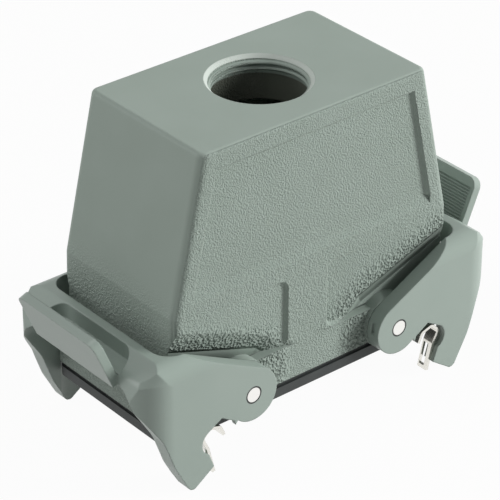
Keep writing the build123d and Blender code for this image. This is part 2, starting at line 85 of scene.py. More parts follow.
heading = Vector((math.sin(AZIMUTH), -math.cos(AZIMUTH), 0))
back = math.cos(ELEVATION) * heading + Vector((0, 0, math.sin(ELEVATION)))
level = Vector((math.cos(AZIMUTH), math.sin(AZIMUTH), 0))
upright = back.cross(level)
right = math.cos(ROLL) * level + math.sin(ROLL) * upright
up = math.cos(ROLL) * upright - math.sin(ROLL) * level

camera = bpy.data.objects.new("camera", bpy.data.cameras.new("camera"))
bpy.context.scene.collection.objects.link(camera)
turn = Matrix((right, up, back)).transposed().to_4x4()
camera.matrix_world = Matrix.Translation(AIM + DISTANCE * back) @ turn
camera.data.sensor_width = SENSOR_MM
camera.data.lens = FOCAL / PICTURE * SENSOR_MM
camera.data.shift_x = (PICTURE / 2 - STRAIGHT_X) / PICTURE
camera.data.shift_y = (STRAIGHT_Y - PICTURE / 2) / PICTURE
camera.data.clip_start, camera.data.clip_end = 0.01, 20
bpy.context.scene.camera = camera
bpy.context.scene.view_settings.view_transform = "Standard"
print("lens", round(camera.data.lens, 1), "mm, camera at", [round(v, 3) for v in camera.location])

# %% [markdown]
# ## Helpers for materials
# A colour is easiest to name as the sRGB hex value that a picture shows, but a shader wants linear light,
# so one function converts. One more function adds any node, sets its values and makes its links, which
# keeps every material below as short as its idea.

# %% Colour and node helpers
def linear(hex_code):
    """Linear RGBA of an sRGB hex colour."""
    parts = [int(hex_code[i:i + 2], 16) / 255 for i in (1, 3, 5)]
    return (*[p / 12.92 if p <= 0.04045 else ((p + 0.055) / 1.055) ** 2.4 for p in parts], 1)


def add_node(tree, kind, values=None, **settings):
    """A new node: settings are its own properties, values are sockets to fill or to link."""
    node = tree.nodes.new(kind)
    for name, value in settings.items():
        setattr(node, name, value)
    for socket, value in (values or {}).items():
        if isinstance(value, bpy.types.NodeSocket):
            tree.links.new(value, node.inputs[socket])
        else:
            node.inputs[socket].default_value = value
    return node


def emptied(owner):
    """The node tree of a material or world, switched on and without its default nodes."""
    owner.use_nodes = True
    owner.node_tree.nodes.clear()
    return owner.node_tree


def new_material(name):
    """An empty material with its tree, its shader and the coordinates of the piece."""
    material = bpy.data.materials.new(name)
    tree = emptied(material)
    shader = add_node(tree, "ShaderNodeBsdfPrincipled")
    add_node(tree, "ShaderNodeOutputMaterial", {"Surface": shader.outputs["BSDF"]})
    place = add_node(tree, "ShaderNodeTexCoord")
    return material, tree, shader, place


print("a mid grey is", [round(v, 3) for v in linear("#808080")])

# %% [markdown]
# ## What comes back in several finishes
# No real surface is one even colour, and none has perfectly sharp edges. So most finishes below drift
# between two close tones, and most bend the light by a fine height and round it over their edges. Each of
# these is two nodes, which could be written out every time, but a function for each keeps what differs in
# sight: the sizes and the colours. A third function gives the place in a side view. Both ends of the hood
# are alike there, so one hinge and one crease stand for all of them.

# %% Drifting colour, fine skin and side view
EDGE_SAMPLES = 4


def drifting_colour(tree, place, patch, detail, one, other):
    """A mix of two tones in patches of about the given size in metres, and the noise behind it."""
    noise = add_node(tree, "ShaderNodeTexNoise", {"Vector": place.outputs["Object"], "Scale": 1 / patch,
                                                  "Detail": detail})
    mix = add_node(tree, "ShaderNodeMix", {"Factor": noise.outputs["Fac"], "A": linear(one),
                                           "B": linear(other)}, data_type="RGBA")
    return mix, noise


def fine_skin(tree, shader, height, depth, edge):
    """Bends the light by a height socket times depth, over edges that are rounded by a radius in metres."""
    edges = add_node(tree, "ShaderNodeBevel", {"Radius": edge}, samples=EDGE_SAMPLES)
    skin = add_node(tree, "ShaderNodeBump", {"Height": height, "Distance": depth,
                                             "Normal": edges.outputs[0]})
    tree.links.new(skin.outputs[0], shader.inputs["Normal"])


def in_side_view(tree, place):
    """The position, and the same place in a side view that is alike at both ends: (|x|, z)."""
    where = add_node(tree, "ShaderNodeSeparateXYZ", {0: place.outputs["Object"]})
    across = add_node(tree, "ShaderNodeMath", {0: where.outputs["X"]}, operation="ABSOLUTE")
    side_view = add_node(tree, "ShaderNodeCombineXYZ", {"X": across.outputs[0], "Y": where.outputs["Z"]})
    return where, side_view


hinge_place = frame["joints"][0]["pos_m"]
HINGE = (abs(hinge_place[0]), hinge_place[2], 0)
print("hinge in the side view, in mm:", [round(1000 * h, 2) for h in HINGE[:2]])

# %% [markdown]
# ## Stage and light
# The object stands on a plain white floor in a white room. A pure white picture could be had by more
# light, but that would wash out the grey coat. So the floor and the world look white only to the camera
# and to reflections, through Light Path, and light the object at a plain level. The floor keeps a part of
# its own shading, which shows the object's soft shadow. From below the floor is clear, so that the
# underside can be looked at.

# %% Floor
FLOOR_HALF, WHITE_SHARE = 4, 0.96


def looked_at(tree):
    """1 for rays of the camera, of reflections and of clear surfaces, and 0 for the light on the object."""
    path = add_node(tree, "ShaderNodeLightPath")
    seen = add_node(tree, "ShaderNodeMath", {0: path.outputs["Is Camera Ray"],
                                             1: path.outputs["Is Glossy Ray"]}, operation="MAXIMUM")
    return add_node(tree, "ShaderNodeMath", {0: seen.outputs[0], 1: path.outputs["Is Transmission Ray"]},
                    operation="MAXIMUM").outputs[0]


floor_mesh = bpy.data.meshes.new("floor")
floor_corners = [(x * FLOOR_HALF, y * FLOOR_HALF, 0) for x, y in ((-1, -1), (1, -1), (1, 1), (-1, 1))]
floor_mesh.from_pydata(floor_corners, [], [(0, 1, 2, 3)])
floor = bpy.data.objects.new("floor", floor_mesh)
bpy.context.scene.collection.objects.link(floor)

paper = bpy.data.materials.new("white_paper")
tree = emptied(paper)
matt = add_node(tree, "ShaderNodeBsdfDiffuse", {"Color": linear("#C4C4C2")})
glow = add_node(tree, "ShaderNodeEmission", {"Color": linear("#FFFFFF"), "Strength": 1.0})
share = add_node(tree, "ShaderNodeMath", {0: looked_at(tree), 1: WHITE_SHARE}, operation="MULTIPLY")
both = add_node(tree, "ShaderNodeMixShader", {0: share.outputs[0], 1: matt.outputs[0], 2: glow.outputs[0]})
below_floor = add_node(tree, "ShaderNodeNewGeometry").outputs["Backfacing"]
clear = add_node(tree, "ShaderNodeBsdfTransparent")
sheet = add_node(tree, "ShaderNodeMixShader", {0: below_floor, 1: both.outputs[0], 2: clear.outputs[0]})
add_node(tree, "ShaderNodeOutputMaterial", {"Surface": sheet.outputs[0]})
floor_mesh.materials.append(paper)
print("floor:", paper.name, 2 * FLOOR_HALF, "m wide")

# %% World
ROOM_LIGHT = 0.235

world = bpy.data.worlds.new("studio")
bpy.context.scene.world = world
tree = emptied(world)
room = add_node(tree, "ShaderNodeBackground", {"Color": linear("#F4F7F8"), "Strength": ROOM_LIGHT})
white = add_node(tree, "ShaderNodeBackground", {"Color": linear("#FFFFFF"), "Strength": 1.0})
both = add_node(tree, "ShaderNodeMixShader", {0: looked_at(tree), 1: room.outputs[0], 2: white.outputs[0]})
add_node(tree, "ShaderNodeOutputWorld", {"Surface": both.outputs[0]})
print("world:", world.name, "lights the object at", ROOM_LIGHT)

# %% [markdown]
# ## Lamps
# Three large lamps light the object. The strongest stands to the right of the front and lights the long
# side and the right end. A weak one stands behind the left end and lights that end, and one hangs high on
# the left. The sloping corners between the two sides face no lamp squarely, so they fall darker and the
# tapered form reads clearly. Large lamps keep every shadow soft. The front lamp doesn't show in
# reflections, because from behind its glare on the flat top would hide the grey of the coat.

# %% Lamps
def soft_lamp(name, place, size, watts):
    """A square area lamp aimed at the middle of the object."""
    lamp = bpy.data.objects.new(name, bpy.data.lights.new(name, "AREA"))
    lamp.data.size = size
    lamp.data.energy = watts
    lamp.location = place
    lamp.rotation_euler = (Vector(place) - AIM).to_track_quat("Z", "Y").to_euler()
    bpy.context.scene.collection.objects.link(lamp)
    return lamp


front_lamp = soft_lamp("front_lamp", (1.10, -0.84, 0.50), size=0.6, watts=26.5)
front_lamp.visible_glossy = False
soft_lamp("end_lamp", (-1.00, 0.95, 0.40), size=0.6, watts=4.3)
soft_lamp("top_lamp", (-0.60, 0.25, 1.45), size=0.7, watts=6.7)

# %% [markdown]
# ## Powder coat on a die casting: where the grain lies
# The long sides of the casting carry a fine cast leather grain. Where the walls roll in behind the
# levers, the grain turns into strong wrinkles, and the pocket past that crease is smooth, as are the top
# and the upper ends. A painted mask could say where each finish lies, but a short piece of arithmetic on
# the position does it at any resolution. In a side view the crease is two straight lines, alike at both
# ends. A dot product gives the distance from each line, and the larger of the two is the distance from
# the crease.

# %% Distance from the crease behind the levers
# Corners of the crease in the side view: distance from the middle and height, in metres.
CREASE = ((0.00665, 0.0246), (0.01365, 0.03154), (0.04675, 0.04324))

casting, tree, shader, place = new_material("powder_coated_die_cast_aluminium")
where, side_view = in_side_view(tree, place)

runs = []
for start, end in zip(CREASE, CREASE[1:]):
    along = Vector(end) - Vector(start)
    outward = Vector((-along.y, along.x)).normalized()
    off = add_node(tree, "ShaderNodeVectorMath", {0: side_view.outputs[0], 1: outward.to_3d()},
                   operation="DOT_PRODUCT")
    runs.append(add_node(tree, "ShaderNodeMath", {0: off.outputs["Value"], 1: outward.dot(Vector(start))},
                         operation="SUBTRACT"))
from_crease = add_node(tree, "ShaderNodeMath", {0: runs[0].outputs[0], 1: runs[1].outputs[0]},
                       operation="MAXIMUM")
print("crease runs:", len(runs))

# %% [markdown]
# ## Powder coat on a die casting: the rolled pocket walls
# The wall of a real pocket rolls in with a large radius, and the wrinkles run on over the start of that
# roll: 2.4 mm far in the right front pocket and its opposite, and 5.2 mm in the other two. The solids
# have a plain slanting wall, so the roll is drawn with light. A height that falls with the square of the
# distance past the crease has a slope that grows evenly, and that is what a round wall with a radius of
# 4.8 mm shows.

# %% Wrinkled wall and roll
WRINKLED_WALL, WRINKLED_WALL_MORE = 0.0024, 0.0028
ROLL_START, ROLL_START_MORE, ROLL_REACH, ROLL_RADIUS = 0.0004, 0.0040, 0.0060, 0.0048

corner = add_node(tree, "ShaderNodeMath", {0: where.outputs["X"], 1: where.outputs["Y"]},
                  operation="MULTIPLY")
other_pocket = add_node(tree, "ShaderNodeMath", {0: corner.outputs[0], 1: 0.0}, operation="GREATER_THAN")
on_wall = add_node(tree, "ShaderNodeMath", {0: other_pocket.outputs[0], 1: WRINKLED_WALL_MORE,
                                            2: WRINKLED_WALL}, operation="MULTIPLY_ADD")
from_smooth = add_node(tree, "ShaderNodeMath", {0: from_crease.outputs[0], 1: on_wall.outputs[0]},
                       operation="ADD")
roll_edge = add_node(tree, "ShaderNodeMath", {0: other_pocket.outputs[0], 1: -ROLL_START_MORE,
                                              2: -ROLL_START}, operation="MULTIPLY_ADD")
past = add_node(tree, "ShaderNodeMath", {0: roll_edge.outputs[0], 1: from_crease.outputs[0]},
                operation="SUBTRACT")
past = add_node(tree, "ShaderNodeClamp", {"Value": past.outputs[0], "Min": 0.0, "Max": ROLL_REACH})
squared = add_node(tree, "ShaderNodeMath", {0: past.outputs[0], 1: past.outputs[0]}, operation="MULTIPLY")
rolled_off = add_node(tree, "ShaderNodeMath", {0: squared.outputs[0], 1: -0.5 / ROLL_RADIUS},
                      operation="MULTIPLY")
ROLL_FALL = 0.5 * ROLL_REACH ** 2 / ROLL_RADIUS
print("the roll falls by", round(ROLL_FALL * 1000, 2), "mm over", ROLL_REACH * 1000, "mm")

# %% [markdown]
# ## Powder coat on a die casting: sides, ends and ledge
# The direction that a face looks in tells the long sides from the ends and the top. The grain lies on the
# sides outside the pockets, and faintly on the lower part of the ends. Below the ledge at 24.6 mm it
# covers the whole foot of the hood, and the wrinkles gather round each hinge lug there. Soft steps blend
# one zone into the next, because the real grain fades out and has no border.

# %% Zones of the grain
# Heights and distances in metres: where a zone begins to show and where it is full.
LEDGE, LEDGE_BLEND = 0.0246, 0.0002
WRINKLE_BAND, WRINKLE_FULL = 0.0088, 0.0003
LUG_FADE, LUG_FULL = 0.0165, 0.0125
LOW_START, LOW_FULL = 0.052, 0.036
OUTSIDE_START, OUTSIDE_FULL = -0.0009, -0.0001
# Where a zone starts and is full, as the part of a face's normal that points to the side or the end.
SIDE_START, SIDE_FULL, END_START, END_FULL = 0.62, 0.85, 0.80, 0.95

facing = add_node(tree, "ShaderNodeSeparateXYZ", {0: place.outputs["Normal"]})
sideways = add_node(tree, "ShaderNodeMath", {0: facing.outputs["Y"]}, operation="ABSOLUTE")
side = add_node(tree, "ShaderNodeMapRange", {"Value": sideways.outputs[0], "From Min": SIDE_START,
                                             "From Max": SIDE_FULL}, interpolation_type="SMOOTHSTEP")
endways = add_node(tree, "ShaderNodeMath", {0: facing.outputs["X"]}, operation="ABSOLUTE")
end_face = add_node(tree, "ShaderNodeMapRange", {"Value": endways.outputs[0], "From Min": END_START,
                                                 "From Max": END_FULL}, interpolation_type="SMOOTHSTEP")
low_down = add_node(tree, "ShaderNodeMapRange", {"Value": where.outputs["Z"], "From Min": LOW_START,
                                                 "From Max": LOW_FULL}, interpolation_type="SMOOTHSTEP")
end_part = add_node(tree, "ShaderNodeMath", {0: end_face.outputs["Result"], 1: low_down.outputs["Result"]},
                    operation="MULTIPLY")
outside = add_node(tree, "ShaderNodeMapRange", {"Value": from_smooth.outputs[0],
                                                "From Min": OUTSIDE_START,
                                                "From Max": OUTSIDE_FULL}, interpolation_type="SMOOTHSTEP")
foot = add_node(tree, "ShaderNodeMapRange", {"Value": where.outputs["Z"], "From Min": LEDGE + LEDGE_BLEND,
                                             "From Max": LEDGE - LEDGE_BLEND})
grained = add_node(tree, "ShaderNodeMath", {0: outside.outputs["Result"], 1: foot.outputs["Result"]},
                   operation="MAXIMUM")
by_crease = add_node(tree, "ShaderNodeMapRange", {"Value": from_smooth.outputs[0],
                                                  "From Min": WRINKLE_BAND,
                                                  "From Max": WRINKLE_FULL}, interpolation_type="SMOOTHSTEP")
from_hinge = add_node(tree, "ShaderNodeVectorMath", {0: side_view.outputs[0], 1: HINGE},
                      operation="DISTANCE")
by_lug = add_node(tree, "ShaderNodeMapRange", {"Value": from_hinge.outputs["Value"], "From Min": LUG_FADE,
                                               "From Max": LUG_FULL}, interpolation_type="SMOOTHSTEP")
band = add_node(tree, "ShaderNodeMix", {"Factor": foot.outputs["Result"], "A": by_crease.outputs["Result"],
                                        "B": by_lug.outputs["Result"]})
side_band = add_node(tree, "ShaderNodeMath", {0: side.outputs["Result"], 1: band.outputs["Result"]},
                     operation="MULTIPLY")
print("wrinkles fade out over", WRINKLE_BAND * 1000, "mm, ledge at", LEDGE * 1000, "mm")

# %% [markdown]
# ## Powder coat on a die casting: grain and wrinkles
# Fine grain is noise with features of about half a millimetre. The wrinkles are the borders of cells
# about 0.7 mm across, bent by a slower noise so that they don't look like tiles. Real grain could be cut
# into the mesh, but it is a tenth of a millimetre high and would need millions of faces, so both only
# bend the light. Their heights here are larger than the real ones, so that they still show in a picture
# of this size.

# %% Grain and wrinkles
GRAIN, WRINKLE, WANDER = 0.00045, 0.00074, 0.0022
GRAIN_HEIGHT, WRINKLE_HEIGHT, SMOOTH_HEIGHT, WANDER_REACH = 0.00062, 0.00140, 0.000012, 0.0009
END_WRINKLES = 0.22

fine = add_node(tree, "ShaderNodeTexNoise", {"Vector": place.outputs["Object"], "Scale": 1 / GRAIN,
                                             "Detail": 2.0, "Roughness": 0.6})
wander = add_node(tree, "ShaderNodeTexNoise", {"Vector": place.outputs["Object"], "Scale": 1 / WANDER,
                                               "Detail": 1.0})
bent = add_node(tree, "ShaderNodeVectorMath", {0: wander.outputs["Color"], 1: 3 * (WANDER_REACH,),
                                               2: place.outputs["Object"]}, operation="MULTIPLY_ADD")
cells = add_node(tree, "ShaderNodeTexVoronoi", {"Vector": bent.outputs[0], "Scale": 1 / WRINKLE,
                                                "Smoothness": 0.5}, feature="SMOOTH_F1")
grain_height = add_node(tree, "ShaderNodeMath", {0: fine.outputs["Fac"], 1: GRAIN_HEIGHT},
                        operation="MULTIPLY")
wrinkle_height = add_node(tree, "ShaderNodeMath", {0: cells.outputs["Distance"], 1: WRINKLE_HEIGHT},
                          operation="MULTIPLY")
wrinkled = add_node(tree, "ShaderNodeMath", {0: end_part.outputs[0], 1: END_WRINKLES,
                                             2: side_band.outputs[0]}, operation="MULTIPLY_ADD")
wrinkles = add_node(tree, "ShaderNodeMath", {0: wrinkled.outputs[0], 1: wrinkle_height.outputs[0]},
                    operation="MULTIPLY")
relief = add_node(tree, "ShaderNodeMath", {0: grain_height.outputs[0], 1: wrinkles.outputs[0]},
                  operation="ADD")
print("grain", GRAIN * 1000, "mm, wrinkles", WRINKLE * 1000, "mm across")

# %% [markdown]
# ## Powder coat on a die casting: one height for the bump
# The relief counts only where the grain lies. A hundredth of a millimetre of it stays everywhere, because
# powder coat always has a faint orange peel. The roll of the pocket walls is added above the ledge. The
# Bevel node rounds the light over sharp edges: the casting's real edges have a radius of about 0.4 mm,
# and the crease is rounder, about 1.4 mm.

# %% Height, edges and bump
EDGE, CREASE_EDGE = 0.0004, 0.0014
CREASE_FADE, CREASE_FULL = 0.0022, 0.0012

side_part = add_node(tree, "ShaderNodeMath", {0: side.outputs["Result"], 1: grained.outputs[0]},
                     operation="MULTIPLY")
zones = add_node(tree, "ShaderNodeMath", {0: side_part.outputs[0], 1: end_part.outputs[0]},
                 operation="MAXIMUM")
height = add_node(tree, "ShaderNodeMath", {0: zones.outputs[0], 1: relief.outputs[0]}, operation="MULTIPLY")
height = add_node(tree, "ShaderNodeMath", {0: fine.outputs["Fac"], 1: SMOOTH_HEIGHT, 2: height.outputs[0]},
                  operation="MULTIPLY_ADD")
above_ledge = add_node(tree, "ShaderNodeMapRange", {"Value": where.outputs["Z"], "From Min": LEDGE,
                                                    "From Max": LEDGE + 2 * LEDGE_BLEND})
side_wall = add_node(tree, "ShaderNodeMath", {0: side.outputs["Result"], 1: above_ledge.outputs["Result"]},
                     operation="MULTIPLY")
height = add_node(tree, "ShaderNodeMath", {0: side_wall.outputs[0], 1: rolled_off.outputs[0],
                                           2: height.outputs[0]}, operation="MULTIPLY_ADD")

edges = add_node(tree, "ShaderNodeBevel", {"Radius": EDGE}, samples=EDGE_SAMPLES)
soft_crease = add_node(tree, "ShaderNodeBevel", {"Radius": CREASE_EDGE}, samples=EDGE_SAMPLES)
at_crease = add_node(tree, "ShaderNodeMath", {0: from_crease.outputs[0]}, operation="ABSOLUTE")
at_crease = add_node(tree, "ShaderNodeMapRange", {"Value": at_crease.outputs[0], "From Min": CREASE_FADE,
                                                  "From Max": CREASE_FULL}, interpolation_type="SMOOTHSTEP")
rounded = add_node(tree, "ShaderNodeMix", {"Factor": at_crease.outputs["Result"], 4: edges.outputs[0],
                                           5: soft_crease.outputs[0]}, data_type="VECTOR")
grain = add_node(tree, "ShaderNodeBump", {"Height": height.outputs[0], "Distance": 1.0,
                                          "Normal": rounded.outputs[1]})
tree.links.new(grain.outputs[0], shader.inputs["Normal"])
print("edges rounded by", EDGE * 1000, "mm, the crease by", CREASE_EDGE * 1000, "mm")

# %% [markdown]
# ## Powder coat on a die casting: colour
# Powder coat is a thin polyester skin, matt to satin, of one even grey with a touch of green. A slow drift
# of tone over centimetres keeps it from looking like plain plastic. Two more marks are painted light and
# shade: a painted highlight along sharp edges, where the coat is also a little thinner, and painted shade in
# the valleys between the wrinkles, where little light gets in. The edge is found by comparing the rounded
# normal of the Bevel node with the face's own.

# %% Drift, painted edge highlight and painted valley shade
TONE_PATCH, SATIN, MATT = 0.012, 0.50, 0.62
EDGE_HIGHLIGHT_START, EDGE_HIGHLIGHT_FULL, EDGE_HIGHLIGHT_SHARE = 0.995, 0.90, 0.35
VALLEY_SHADE_START, VALLEY_SHADE_FULL, VALLEY_SHADE_SHARE = 0.55, 0.20, 0.55

paint, _ = drifting_colour(tree, place, TONE_PATCH, 3.0, "#939F96", "#9BA79F")
# Painted highlight: the paint turns lighter along sharp edges, where the Bevel normal leaves the face's own.
# The thinner coat there plays a small part.
own = add_node(tree, "ShaderNodeNewGeometry")
flatness = add_node(tree, "ShaderNodeVectorMath", {0: edges.outputs[0], 1: own.outputs["Normal"]},
                    operation="DOT_PRODUCT")
edge_highlight = add_node(tree, "ShaderNodeMapRange", {"Value": flatness.outputs["Value"], "From Min": EDGE_HIGHLIGHT_START,
                                             "From Max": EDGE_HIGHLIGHT_FULL, "To Max": EDGE_HIGHLIGHT_SHARE})
paint = add_node(tree, "ShaderNodeMix", {"Factor": edge_highlight.outputs["Result"], "A": paint.outputs["Result"],
                                         "B": linear("#C3CCC5")}, data_type="RGBA")
# Painted shade: the paint turns darker in the valleys between the wrinkles, where little light gets in.
valley_shade = add_node(tree, "ShaderNodeMapRange", {"Value": cells.outputs["Distance"], "From Min": VALLEY_SHADE_START,
                                               "From Max": VALLEY_SHADE_FULL, "To Max": VALLEY_SHADE_SHARE})
valley_shade = add_node(tree, "ShaderNodeMath", {0: side_band.outputs[0], 1: valley_shade.outputs["Result"]},
                  operation="MULTIPLY")
valley_shade = add_node(tree, "ShaderNodeMath", {0: valley_shade.outputs[0], 1: grained.outputs[0]},
                  operation="MULTIPLY")
paint = add_node(tree, "ShaderNodeMix", {"Factor": valley_shade.outputs[0], "A": paint.outputs["Result"],
                                         "B": linear("#5D6962")}, data_type="RGBA")
dull = add_node(tree, "ShaderNodeMapRange", {"Value": fine.outputs["Fac"], "To Min": SATIN, "To Max": MATT})
tree.links.new(dull.outputs["Result"], shader.inputs["Roughness"])
shader.inputs["Specular IOR Level"].default_value = 0.3
print("nodes in the coat so far:", len(tree.nodes))

# %% [markdown]
# ## Powder coat on a die casting: the cable entry
# The chamfer of the entry is painted lighter, a painted highlight that keeps the whole ring bright, and
# below the thread the bore is painted dark, painted shade for the dark hollow of the hood behind it. Both
# could be pieces of their own, but they are the same casting, so the distance from the entry's axis and the
# height tell where they begin.

# %% Painted highlight on the chamfer and painted shade in the bore
THREADED, THREADED_BLEND, MOUTH = 0.0046, 0.0004, 0.0010
BORE_WITHIN, MOUTH_WITHIN = 0.0130, 0.01338
entry_top = solid_high.z

from_axis = add_node(tree, "ShaderNodeCombineXYZ", {"X": where.outputs["X"], "Y": where.outputs["Y"]})
from_axis = add_node(tree, "ShaderNodeVectorMath", {0: from_axis.outputs[0]}, operation="LENGTH")
# Painted highlight: the chamfer ring is painted lighter than the coat, so that it reads bright all round.
in_mouth = add_node(tree, "ShaderNodeMath", {0: from_axis.outputs["Value"], 1: MOUTH_WITHIN},
                    operation="LESS_THAN")
high = add_node(tree, "ShaderNodeMath", {0: where.outputs["Z"], 1: entry_top - MOUTH},
                operation="GREATER_THAN")
chamfer_highlight = add_node(tree, "ShaderNodeMath", {0: in_mouth.outputs[0], 1: high.outputs[0]}, operation="MULTIPLY")
paint = add_node(tree, "ShaderNodeMix", {"Factor": chamfer_highlight.outputs[0], "A": paint.outputs["Result"],
                                         "B": linear("#C2CAC3")}, data_type="RGBA")
# Painted shade: the bore below the thread is painted dark, for the dark hollow of the hood behind it.
in_bore = add_node(tree, "ShaderNodeMath", {0: from_axis.outputs["Value"], 1: BORE_WITHIN},
                   operation="LESS_THAN")
deep = add_node(tree, "ShaderNodeMapRange", {"Value": where.outputs["Z"], "From Min": entry_top - THREADED,
                                             "From Max": entry_top - THREADED - THREADED_BLEND})
bore_shade = add_node(tree, "ShaderNodeMath", {0: in_bore.outputs[0], 1: deep.outputs["Result"]},
                operation="MULTIPLY")
paint = add_node(tree, "ShaderNodeMix", {"Factor": bore_shade.outputs[0], "A": paint.outputs["Result"],
                                         "B": linear("#5A5E55")}, data_type="RGBA")
tree.links.new(paint.outputs["Result"], shader.inputs["Base Color"])
print(casting.name, "has", len(tree.nodes), "nodes")

# %% [markdown]
# ## Moulded levers
# The levers are glass-filled polycarbonate in the same grey, moulded in one shot with a satin surface.
# They are much smoother than the casting, so only a very fine bump and a slow change of tone break the
# surface. Moulded edges have a real radius, which the Bevel node stands in for, and it catches a soft
# line of light. The gap round each hinge pin is a few hundredths of a millimetre, too fine to show, so a
# dark ring 0.4 mm wide stands for it.

# %% Satin polycarbonate
PIN_GAP, PIN_GAP_BLEND = 0.00242, 0.0001
SKIN_GRAIN, SKIN_DEPTH, MOULDED_EDGE = 0.0004, 0.000006, 0.0005

moulding, tree, shader, place = new_material("glass_filled_polycarbonate")
paint, _ = drifting_colour(tree, place, 0.016, 2.0, "#8E9B93", "#95A199")
_, side_view = in_side_view(tree, place)
from_pin = add_node(tree, "ShaderNodeVectorMath", {0: side_view.outputs[0], 1: HINGE}, operation="DISTANCE")
gap = add_node(tree, "ShaderNodeMapRange", {"Value": from_pin.outputs["Value"], "From Min": PIN_GAP,
                                            "From Max": PIN_GAP - PIN_GAP_BLEND})
paint = add_node(tree, "ShaderNodeMix", {"Factor": gap.outputs["Result"], "A": paint.outputs["Result"],
                                         "B": linear("#171A18")}, data_type="RGBA")
tree.links.new(paint.outputs["Result"], shader.inputs["Base Color"])
satin = add_node(tree, "ShaderNodeTexNoise", {"Vector": place.outputs["Object"], "Scale": 1 / SKIN_GRAIN,
                                              "Detail": 2.0})
fine_skin(tree, shader, satin.outputs["Fac"], SKIN_DEPTH, MOULDED_EDGE)
shader.inputs["Roughness"].default_value = 0.42
shader.inputs["IOR"].default_value = 1.58
print(moulding.name, "has", len(tree.nodes), "nodes")

# %% [markdown]
# ## Metals
# The hinge pins and latch springs are stainless steel, the screws are zinc plated and the contacts are
# silver plated brass. What tells them apart is how each surface was made. The pins show their cut ends,
# which are grained alike in every direction. Rolled strip keeps fine lines along its length, and plating
# follows the lines of the drawn bar under it. Real marks are a hundredth of a millimetre wide, too fine to
# show here, so they are drawn coarser, at 0.2 to 0.7 mm. One function serves all four, because only the
# colour, the roughness and the direction of the marks differ.

# %% Stainless steel, zinc and silver
SPREAD = 0.3


def metal(name, colour, roughness, stretch):
    """A metal with rolling or turning marks: stretch is the pattern's scale along X, Y and Z."""
    material, tree, shader, place = new_material(name)
    marks = add_node(tree, "ShaderNodeMapping", {"Vector": place.outputs["Object"], "Scale": stretch})
    lines = add_node(tree, "ShaderNodeTexNoise", {"Vector": marks.outputs[0], "Scale": 1.0, "Detail": 3.0})
    rough = add_node(tree, "ShaderNodeMapRange", {"Value": lines.outputs["Fac"],
                                                  "To Min": roughness * (1 - SPREAD),
                                                  "To Max": roughness * (1 + SPREAD)})
    tree.links.new(rough.outputs["Result"], shader.inputs["Roughness"])
    fine_skin(tree, shader, lines.outputs["Fac"], depth=0.000008, edge=0.00015)
    shader.inputs["Base Color"].default_value = linear(colour)
    shader.inputs["Metallic"].default_value = 1.0
    return material


pin_steel = metal("drawn_stainless_steel", "#F8F7F3", 0.32, (2500, 2500, 2500))
spring_steel = metal("rolled_stainless_strip", "#E9E7E0", 0.22, (300, 5000, 300))
zinc = metal("zinc_plated_steel", "#C9CBC9", 0.34, (2000, 2000, 600))
silver = metal("silver_plated_brass", "#E3DCC9", 0.28, (1500, 1500, 400))
print("metals:", [m.name for m in (pin_steel, spring_steel, zinc, silver)])

# %% [markdown]
# ## Rubber, polyamide and ink
# The seal is a moulded ring of black nitrile rubber: matt, faintly dusty, with pores of about 0.3 mm from
# the mould. The insert that carries the contacts is glass-filled polyamide in a warm light grey. Its
# glass fibres reach the skin as a faint cloudiness, a little under a millimetre across. The numbers on it
# are printed with a soft pad, which leaves the ink a little uneven.

# %% Nitrile rubber
PORES, PORE_DEPTH = 0.0003, 0.00001

rubber, tree, shader, place = new_material("nitrile_rubber")
paint, _ = drifting_colour(tree, place, 0.004, 4.0, "#2B2E2F", "#424644")
tree.links.new(paint.outputs["Result"], shader.inputs["Base Color"])
pores = add_node(tree, "ShaderNodeTexNoise", {"Vector": place.outputs["Object"], "Scale": 1 / PORES})
skin = add_node(tree, "ShaderNodeBump", {"Height": pores.outputs["Fac"], "Distance": PORE_DEPTH})
tree.links.new(skin.outputs[0], shader.inputs["Normal"])
shader.inputs["Roughness"].default_value = 0.62
shader.inputs["IOR"].default_value = 1.52
print(rubber.name, "has", len(tree.nodes), "nodes")

# %% Glass-filled polyamide and ink
polyamide, tree, shader, place = new_material("glass_filled_polyamide")
paint, fibres = drifting_colour(tree, place, 0.0008, 4.0, "#BFBCB1", "#CFCCC1")
tree.links.new(paint.outputs["Result"], shader.inputs["Base Color"])
fine_skin(tree, shader, fibres.outputs["Fac"], depth=0.00001, edge=0.0003)
shader.inputs["Roughness"].default_value = 0.5
shader.inputs["IOR"].default_value = 1.53

ink, tree, shader, place = new_material("black_pad_printing_ink")
paint, _ = drifting_colour(tree, place, 0.0005, 2.0, "#1E1F20", "#34363A")
tree.links.new(paint.outputs["Result"], shader.inputs["Base Color"])
shader.inputs["Roughness"].default_value = 0.6
print("materials so far:", sorted(m.name for m in bpy.data.materials))

# %% [markdown]
# ## Which piece gets which finish
# Each loaded piece keeps its mesh. Its finish goes into its material slot, chosen by its name. The faces
# are shaded smooth only where they meet at a gentle angle, which is already stored in the loaded normals.

# %% Dress the solids
def finish_of(name):
    """The finish of a loaded piece."""
    if name == "hood_shell":
        return casting
    if name.endswith("_lever"):
        return moulding
    if name.endswith("_hinge_pin"):
        return pin_steel
    if name.endswith("_latch_spring"):
        return spring_steel
    if name == "hood_seal":
        return rubber
    if name == "insert_body":
        return polyamide
    return zinc if name.endswith("_screws") else silver


for name, piece in nodes.items():
    piece.data.materials.clear()
    piece.data.materials.append(finish_of(name))
print("dressed", len(nodes), "pieces")

# %% [markdown]
# ## Helpers for Geometry Nodes
# The pieces that repeat or follow a path are made by Geometry Nodes: a tree is a small machine with named
# inputs. One helper opens a tree with its inputs, and one closes it, so that the result is plain geometry
# in its finish. The third runs a tree on an empty mesh and keeps the result as a plain mesh, because the
# part is used outside Blender, where no modifier runs.

